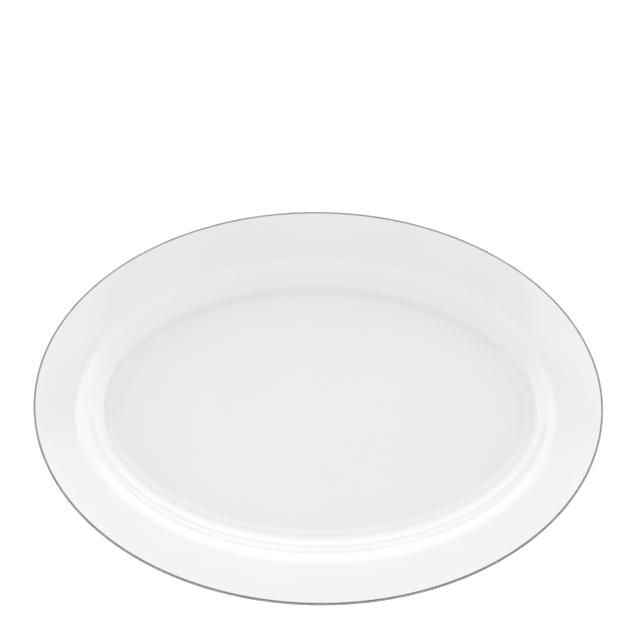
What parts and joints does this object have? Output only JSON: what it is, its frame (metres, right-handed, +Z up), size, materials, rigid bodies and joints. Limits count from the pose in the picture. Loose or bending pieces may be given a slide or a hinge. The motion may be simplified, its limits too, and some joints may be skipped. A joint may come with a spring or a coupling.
{
  "type": "serving platter",
  "caption": "Oval white china serving platter with a broad sloping rim, a flat dished well, a fired platinum line round the lip and a low oval foot ring.",
  "frame": {"origin": "on the surface that the foot ring rests on, under the middle of the oval", "axes": "+Z up out of the well, +X along the long side of the oval, +Y along the short side"},
  "size_m": [0.356, 0.254, 0.03],
  "materials": {
    "bisque_china": "unglazed fired china, matt and faintly warm, seen only on the bearing edge of the foot",
    "clear_glaze": "high-gloss glaze over neutral white china",
    "platinum": "thin brushed-on platinum, fired to a soft grey gloss, slightly uneven",
    "grey_ink": "grey printed film fired onto the glaze"
  },
  "bodies": {
    "root": {"china_body": "bisque_china", "face_glaze": "clear_glaze", "recess_glaze": "clear_glaze", "platinum_line": "platinum", "underside_mark": "grey_ink"}
  },
  "joints": []
}
